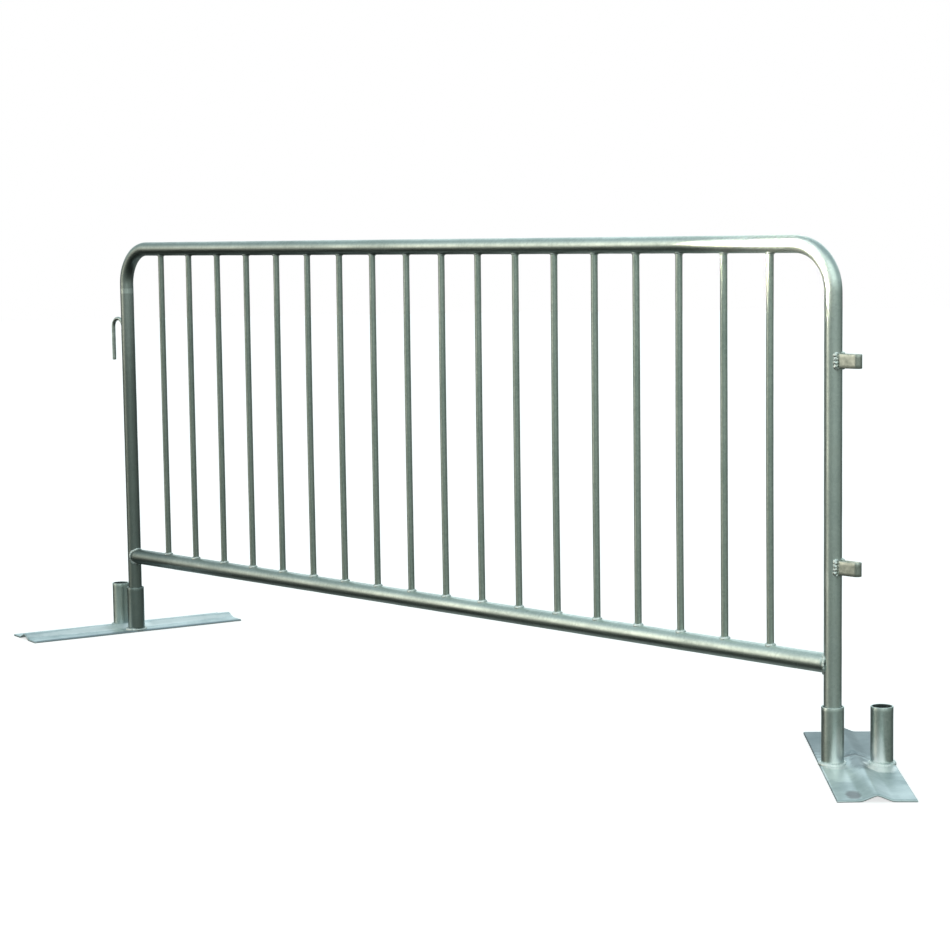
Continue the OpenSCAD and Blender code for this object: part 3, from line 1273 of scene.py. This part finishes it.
@dataclass
class Surroundings:
    """The open air that the zinc mirrors: dark ground, a tree line, pale sky and a low glow."""

    pit: tuple[float, float, float] = (0.0005, 0.002, 0.001)
    ground: tuple[float, float, float] = (0.18, 0.22, 0.19)
    far_ground: tuple[float, float, float] = (0.20, 0.24, 0.23)
    trees: tuple[float, float, float] = (0.22, 0.26, 0.23)
    behind: tuple[float, float, float] = (0.08, 0.10, 0.09)
    sky_low: tuple[float, float, float] = (0.46, 0.58, 0.57)
    sky_high: tuple[float, float, float] = (0.34, 0.46, 0.48)
    glow: tuple[float, float, float] = (1.7, 1.68, 1.42)
    glow_heading: float = -128.0
    glow_height: float = 10.0
    glow_core: float = 4.0
    glow_edge: float = 23.0
    haze: tuple[float, float, float] = (1.00, 1.20, 1.22)
    dazzle: tuple[float, float, float] = (1.05, 1.24, 1.18)
    sheen: tuple[float, float, float] = (1.00, 1.10, 1.03)
    viewer: float = -49.0

    def build(self) -> None:
        """Makes the world."""
        world = bpy.data.worlds.new("open_air")
        world.use_nodes = True
        bpy.context.scene.world = world
        tree = world.node_tree
        place = tree.nodes.new("ShaderNodeTexCoord").outputs["Generated"]
        parts = tree.nodes.new("ShaderNodeSeparateXYZ")
        tree.links.new(place, parts.inputs["Vector"])
        rise = parts.outputs["Z"]
        near = step(tree, self._facing(tree, place, self.viewer + 14.0, 0.0), -0.45, 0.25)
        band = mixed(tree, near, self.behind, self.trees)
        soil = mixed(tree, near, self.pit, self.ground)
        below = mixed(tree, step(tree, rise, -0.64, -0.10), self.pit, soil)
        rear = self._lobe(tree, place, (self.viewer + 180.0, -38.0), 56.0, 24.0)
        below = mixed(tree, rear, below, self.far_ground)
        sky = mixed(tree, step(tree, rise, 0.15, 0.75), self.sky_low, self.sky_high)
        across = self._lobe(tree, place, (self.viewer + 180.0, 14.0), 50.0, 12.0)
        sky = mixed(tree, across, sky, self.haze)
        ahead = self._lobe(tree, place, (self.viewer + 20.0, 22.0), 50.0, 20.0)
        sky = mixed(tree, ahead, sky, self.dazzle)
        beside = self._lobe(tree, place, (self.glow_heading + 2.0, 20.0), 32.0, 8.0)
        sky = mixed(tree, beside, sky, self.sheen)
        shine = self._lobe(tree, place, (self.glow_heading, self.glow_height), self.glow_edge,
                           self.glow_core)
        above = mixed(tree, step(tree, rise, 0.05, 0.15), band, sky)
        air = mixed(tree, step(tree, rise, -0.12, 0.0), below, above)
        air = mixed(tree, shine, air, self.glow)
        tree.links.new(air, tree.nodes["Background"].inputs["Color"])

    @classmethod
    def _lobe(cls, tree: bpy.types.NodeTree, place: bpy.types.NodeSocket,
              aim: tuple[float, float], edge: float, core: float) -> bpy.types.NodeSocket:
        """A soft round patch of the world.

        Args:
            tree: The world's node tree.
            place: The direction that is looked in.
            aim: Heading and height of the patch's middle, in degrees.
            edge: Angle from its middle where it ends, in degrees.
            core: Angle from its middle within which it is full, in degrees.

        Returns:
            1 in the core, falling to 0 at the edge.
        """
        return step(tree, cls._facing(tree, place, *aim), math.cos(math.radians(edge)),
                    math.cos(math.radians(core)))

    @staticmethod
    def _facing(tree: bpy.types.NodeTree, place: bpy.types.NodeSocket, heading: float,
                height: float) -> bpy.types.NodeSocket:
        """How nearly a direction points at a given one.

        Args:
            tree: The world's node tree.
            place: The direction that is looked in.
            heading: The given direction's heading from +X, in degrees.
            height: Its height above the horizon, in degrees.

        Returns:
            The cosine of the angle between the two.
        """
        turn, lift = math.radians(heading), math.radians(height)
        node = tree.nodes.new("ShaderNodeVectorMath")
        node.operation = "DOT_PRODUCT"
        node.inputs[1].default_value = (math.cos(lift) * math.cos(turn),
                                        math.cos(lift) * math.sin(turn), math.sin(lift))
        tree.links.new(place, node.inputs[0])
        return node.outputs["Value"]


class Studio:
    """The lights, and a pale floor and a white backdrop that the zinc doesn't mirror."""

    def build(self, middle: Vector, corner: Vector) -> None:
        """Makes the floor, the backdrop and the lights.

        Args:
            middle: Floor point under the middle of the barrier.
            corner: The frame's top right corner.
        """
        self._floor(middle)
        self._backdrop(middle)
        self._lights(middle, corner)
        bpy.context.scene.view_settings.view_transform = "Standard"

    @staticmethod
    def _stand(name: str, mesh: bmesh.types.BMesh, material: bpy.types.Material) -> None:
        """Puts a stage object in the scene and leaves it to the camera alone.

        Args:
            name: The object's name.
            mesh: Its mesh, which is freed.
            material: Its material.
        """
        data = bpy.data.meshes.new(name)
        mesh.to_mesh(data)
        mesh.free()
        data.materials.append(material)
        stage = bpy.data.objects.new(name, data)
        bpy.context.scene.collection.objects.link(stage)
        stage.visible_diffuse = False
        stage.visible_glossy = False
        stage.visible_transmission = False
        stage.visible_shadow = False

    def _floor(self, middle: Vector) -> None:
        """A large pale floor that takes soft contact shadows.

        Args:
            middle: Floor point under the middle of the barrier.
        """
        mesh = bmesh.new()
        bmesh.ops.create_grid(mesh, x_segments=1, y_segments=1, size=30.0,
                              matrix=Matrix.Translation(middle - Z_AXIS * 0.0005))
        material = bpy.data.materials.new("pale_floor")
        material.use_nodes = True
        shader = material.node_tree.nodes["Principled BSDF"]
        shader.inputs["Base Color"].default_value = (0.55, 0.55, 0.55, 1.0)
        shader.inputs["Roughness"].default_value = 1.0
        shader.inputs["Specular IOR Level"].default_value = 0.0
        shader.inputs["Emission Color"].default_value = (1.0, 1.0, 1.0, 1.0)
        shader.inputs["Emission Strength"].default_value = 0.72
        self._stand("pale_floor", mesh, material)

    def _backdrop(self, middle: Vector) -> None:
        """A white dome that stands behind everything.

        Args:
            middle: Floor point under the middle of the barrier.
        """
        mesh = bmesh.new()
        bmesh.ops.create_uvsphere(mesh, u_segments=32, v_segments=16, radius=28.0,
                                  matrix=Matrix.Translation(middle))
        material = bpy.data.materials.new("white_backdrop")
        material.use_nodes = True
        tree = material.node_tree
        light = tree.nodes.new("ShaderNodeEmission")
        light.inputs["Strength"].default_value = 1.0
        tree.links.new(light.outputs["Emission"], tree.nodes["Material Output"].inputs["Surface"])
        self._stand("white_backdrop", mesh, material)

    @staticmethod
    def _lamp(name: str, stand: Vector, target: Vector, size: tuple[float, float], energy: float,
              colour: tuple[float, float, float], spread: float) -> None:
        """Adds one area light.

        Args:
            name: The light's name.
            stand: Where it is.
            target: What it points at.
            size: Its width and height, in metres.
            energy: Its power, in watts.
            colour: Its linear colour.
            spread: Full angle of its beam, in degrees.
        """
        data = bpy.data.lights.new(name, "AREA")
        data.shape = "RECTANGLE"
        data.size, data.size_y = size
        data.energy = energy
        data.color = colour
        data.spread = math.radians(spread)
        light = bpy.data.objects.new(name, data)
        bpy.context.scene.collection.objects.link(light)
        light.matrix_world = (Matrix.Translation(stand)
                              @ (target - stand).to_track_quat("-Z", "Y").to_matrix().to_4x4())
        light.visible_camera = False

    def _lights(self, middle: Vector, corner: Vector) -> None:
        """A soft overhead light, and a low warm beam on the top right corner.

        Args:
            middle: Floor point under the middle of the barrier.
            corner: The frame's top right corner.
        """
        overhead = middle + Vector((0.0, -2.5, 5.0))
        self._lamp("softbox", overhead, middle, (4.0, 3.0), 25.0, (0.95, 1.0, 1.0), 160.0)
        aim = corner + Vector((-0.06, 0.0, 0.10))
        low_front = aim + Vector((-2.2, -2.7, 0.50))
        self._lamp("low_sun", low_front, aim, (0.27, 0.24), 2.2, (1.0, 0.94, 0.76), 5.5)


def main() -> None:
    """Builds the barrier's looks around its CAD frame."""
    logging.basicConfig(level=logging.INFO, format="%(name)s: %(message)s")
    sizes = FrameSizes.from_cad()
    middle = Vector(((sizes.left_x + sizes.right_x) / 2, 0.0, 0.0))
    Viewpoint().build(middle)
    Surroundings().build()
    Studio().build(middle, Vector((sizes.right_x, 0.0, sizes.top_z)))
    finishes = Finishes()
    WeldedFrame(sizes, finishes).build()
    Latch(sizes, finishes).build()
    for side in Side:
        Base(side, BaseSizes(), finishes).build()


if __name__ == "__main__":
    main()
